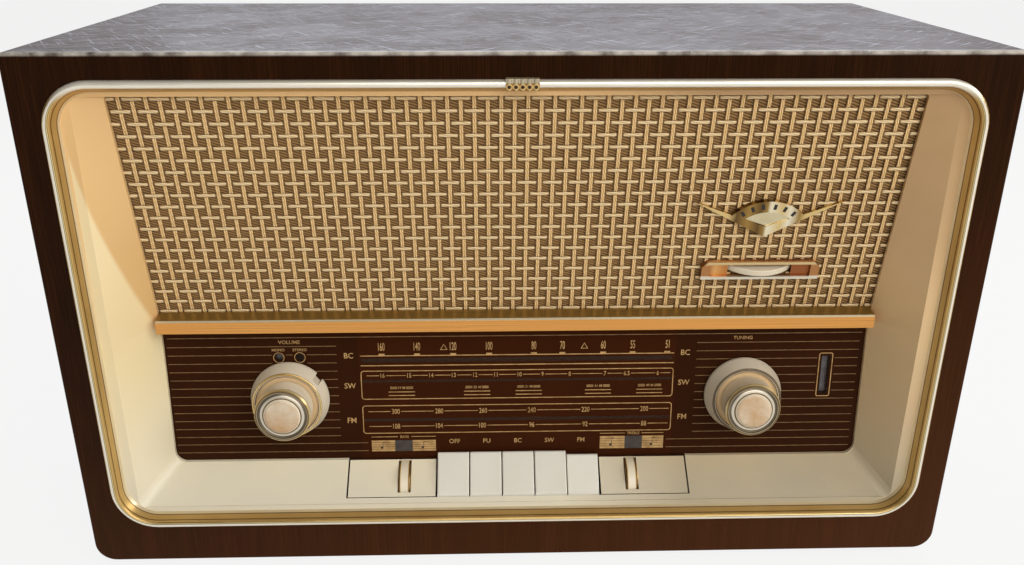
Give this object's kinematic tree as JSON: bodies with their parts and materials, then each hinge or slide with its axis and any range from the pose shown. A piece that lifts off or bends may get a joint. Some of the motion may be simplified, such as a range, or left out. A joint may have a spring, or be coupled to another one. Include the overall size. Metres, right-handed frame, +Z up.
{
  "type": "stereo table radio",
  "caption": "Wooden table radio with a recessed moulded front, leaning cloth grille, glass dial, concentric knobs, piano keys and a cord-driven pointer drive.",
  "frame": {"origin": "on the surface it stands on, under the middle of the set", "axes": "+X to the right seen from the front, +Y to the back, +Z up"},
  "size_m": [0.61, 0.2958, 0.368],
  "materials": {
    "lacquered_walnut": "dark walnut under gloss lacquer",
    "fibreboard": "bare pressed board",
    "rubber": "matt",
    "gilt_metal": "anodised gold, polished",
    "ivory_moulding": "glossy ivory",
    "grille_fabric": "plain weave of light cords over brown cloth",
    "dial_glass": "back-printed brown glass",
    "clear_glass": "clear",
    "zinc_steel": "zinc plated",
    "white_plastic": "glossy off-white",
    "phenolic": "dark phenolic",
    "cord": "waxed cord",
    "tin_plate": "bright can",
    "paper_cone": "pressed dark paper",
    "lamination": "varnished laminations"
  },
  "bodies": {
    "cabinet": {"cabinet_case": "lacquered_walnut", "front_board": "lacquered_walnut", "feet": "rubber", "back_cover": "fibreboard", "back_cover_screws": "zinc_steel", "trim_ring": "gilt_metal", "trim_clasp": "gilt_metal", "escutcheon": "ivory_moulding", "baffle_board": "fibreboard", "grille_cloth": "grille_fabric", "divider_bar": "gilt_metal", "dial_glass": "dial_glass", "dial_backplate": "white_plastic", "bass_panel": "ivory_moulding", "treble_panel": "ivory_moulding", "badge": "gilt_metal", "balance_surround": "gilt_metal", "key_frame": "zinc_steel", "key_pivot_rod": "zinc_steel", "key_springs": "zinc_steel", "drive_plate": "zinc_steel", "volume_pot": "tin_plate", "mode_switch": "phenolic", "pointer_rails": "zinc_steel", "dial_cords": "cord", "tone_pots": "tin_plate", "tuning_eye": "clear_glass", "dial_lamps": "clear_glass", "chassis": "zinc_steel", "power_transformer": "lamination", "output_transformers": "lamination", "valves": "clear_glass", "filter_capacitors": "tin_plate", "tuning_capacitor": "tin_plate", "speaker_frames": "zinc_steel", "speaker_cones": "paper_cone", "side_speakers": "paper_cone", "side_grilles": "ivory_moulding"},
    "volume": {"volume_knob": "ivory_moulding", "volume_bezel": "gilt_metal", "volume_shaft": "zinc_steel"},
    "mode": {"mode_ring": "ivory_moulding", "mode_sleeve": "zinc_steel"},
    "fm_tuning": {"fm_tuning_knob": "ivory_moulding", "fm_tuning_bezel": "gilt_metal", "fm_tuning_shaft": "zinc_steel"},
    "am_tuning": {"am_tuning_ring": "ivory_moulding", "am_sleeve": "zinc_steel"},
    "am_drum_wheel": {"am_drum": "white_plastic"},
    "fm_drum_wheel": {"fm_drum": "white_plastic"},
    "am_needle": {"am_pointer": "zinc_steel"},
    "fm_needle": {"fm_pointer": "zinc_steel"},
    "bass": {"bass_wheel": "white_plastic"},
    "treble": {"treble_wheel": "white_plastic"},
    "balance": {"balance_wheel": "white_plastic"},
    "off_key": {"key_off": "white_plastic"},
    "phono_key": {"key_phono": "white_plastic"},
    "medium_key": {"key_medium": "white_plastic"},
    "short_key": {"key_short": "white_plastic"},
    "fm_key": {"key_fm": "white_plastic"}
  },
  "joints": [
    {"name": "volume_turn", "type": "hinge", "parent": "cabinet", "child": "volume", "pos_m": [-0.164, -0.10257, 0.1174], "axis": [0, -0.9962, 0.0872], "range_deg": [-140, 140]},
    {"name": "mode_turn", "type": "hinge", "parent": "cabinet", "child": "mode", "pos_m": [-0.164, -0.10257, 0.1174], "axis": [0, -0.9962, 0.0872], "range_deg": [-28, 0]},
    {"name": "fm_tuning_turn", "type": "hinge", "parent": "cabinet", "child": "fm_tuning", "pos_m": [0.164, -0.10257, 0.1174], "axis": [0, -0.9962, 0.0872], "range_deg": [-260, 1475]},
    {"name": "am_tuning_turn", "type": "hinge", "parent": "cabinet", "child": "am_tuning", "pos_m": [0.164, -0.10257, 0.1174], "axis": [0, -0.9962, 0.0872], "range_deg": [-260, 1475]},
    {"name": "fm_drum_turn", "type": "hinge", "parent": "cabinet", "child": "fm_drum_wheel", "pos_m": [-0.13, -0.06412, 0.09798], "axis": [0, -0.9962, 0.0872], "range_deg": [-77, 432]},
    {"name": "fm_pointer_slide", "type": "slide", "parent": "cabinet", "child": "fm_needle", "axis": [1, 0, 0], "range_m": [-0.1701, 0.0301]},
    {"name": "am_drum_turn", "type": "hinge", "parent": "cabinet", "child": "am_drum_wheel", "pos_m": [-0.13, -0.07806, 0.0992], "axis": [0, -0.9962, 0.0872], "range_deg": [-77, 432]},
    {"name": "am_pointer_slide", "type": "slide", "parent": "cabinet", "child": "am_needle", "axis": [1, 0, 0], "range_m": [-0.1701, 0.0301]},
    {"name": "off_key_press", "type": "hinge", "parent": "cabinet", "child": "off_key", "pos_m": [0, -0.06205, 0.057], "axis": [1, 0, 0], "range_deg": [0, 3], "stiffness_Nm_per_rad": 0.3, "springref_deg": -4.58, "deforming": ["key_springs"]},
    {"name": "phono_key_press", "type": "hinge", "parent": "cabinet", "child": "phono_key", "pos_m": [0, -0.06205, 0.057], "axis": [1, 0, 0], "range_deg": [0, 3], "stiffness_Nm_per_rad": 0.3, "springref_deg": -4.58, "deforming": ["key_springs"]},
    {"name": "medium_key_press", "type": "hinge", "parent": "cabinet", "child": "medium_key", "pos_m": [0, -0.06205, 0.057], "axis": [1, 0, 0], "range_deg": [0, 3], "stiffness_Nm_per_rad": 0.3, "springref_deg": -4.58, "deforming": ["key_springs"]},
    {"name": "short_key_press", "type": "hinge", "parent": "cabinet", "child": "short_key", "pos_m": [0, -0.06205, 0.057], "axis": [1, 0, 0], "range_deg": [0, 3], "stiffness_Nm_per_rad": 0.3, "springref_deg": -4.58, "deforming": ["key_springs"]},
    {"name": "fm_key_press", "type": "hinge", "parent": "cabinet", "child": "fm_key", "pos_m": [0, -0.06205, 0.057], "axis": [1, 0, 0], "range_deg": [-3, 0], "deforming": ["key_springs"]},
    {"name": "bass_turn", "type": "hinge", "parent": "cabinet", "child": "bass", "pos_m": [-0.083, -0.11148, 0.04891], "axis": [1, 0, 0], "range_deg": [-135, 135]},
    {"name": "treble_turn", "type": "hinge", "parent": "cabinet", "child": "treble", "pos_m": [0.083, -0.11148, 0.04891], "axis": [1, 0, 0], "range_deg": [-135, 135]},
    {"name": "balance_turn", "type": "hinge", "parent": "cabinet", "child": "balance", "pos_m": [0.1655, -0.08459, 0.22126], "axis": [0, -0.2062, 0.9785], "range_deg": [-135, 135]}
  ],
  "couplings": [
    {"joint": "fm_pointer_slide", "follows": "fm_tuning_turn", "m_per_rad": -0.0066},
    {"joint": "fm_drum_turn", "follows": "fm_tuning_turn", "ratio": 0.29204},
    {"joint": "am_pointer_slide", "follows": "am_tuning_turn", "m_per_rad": -0.0066},
    {"joint": "am_drum_turn", "follows": "am_tuning_turn", "ratio": 0.29204}
  ]
}
